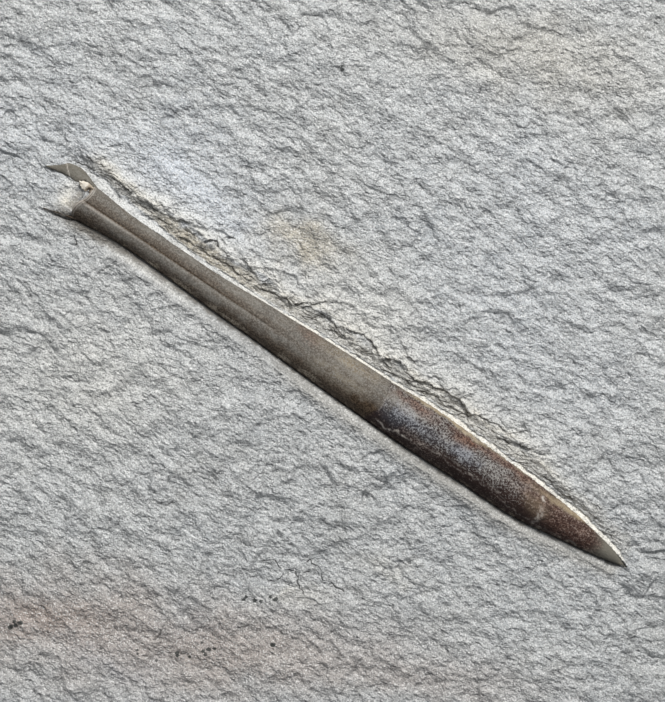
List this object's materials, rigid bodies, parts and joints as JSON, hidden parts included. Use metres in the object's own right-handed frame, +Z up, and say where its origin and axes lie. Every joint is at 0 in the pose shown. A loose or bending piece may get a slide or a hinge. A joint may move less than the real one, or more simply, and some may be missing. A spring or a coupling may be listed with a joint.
{
  "type": "belemnite fossil in a limestone slab",
  "caption": "Belemnite guard with a furrow and broken alveolar wall, lying in its trough on a split slab of pale grey bedded limestone.",
  "frame": {"origin": "middle of the slab's bounding box, on the flat underside", "axes": "+Z up out of the bedding surface, +X along the slab's long side, the guard's front end towards -X and +Y and its apex towards +X and -Y"},
  "size_m": [0.1722, 0.1658, 0.0264],
  "materials": {
    "guard": "grey-brown to blue-black calcite with a satin sheen",
    "matrix_slab": "matt pale grey limestone with a fine rough grain"
  },
  "bodies": {
    "root": {"guard": "guard", "matrix_slab": "matrix_slab"}
  },
  "joints": []
}
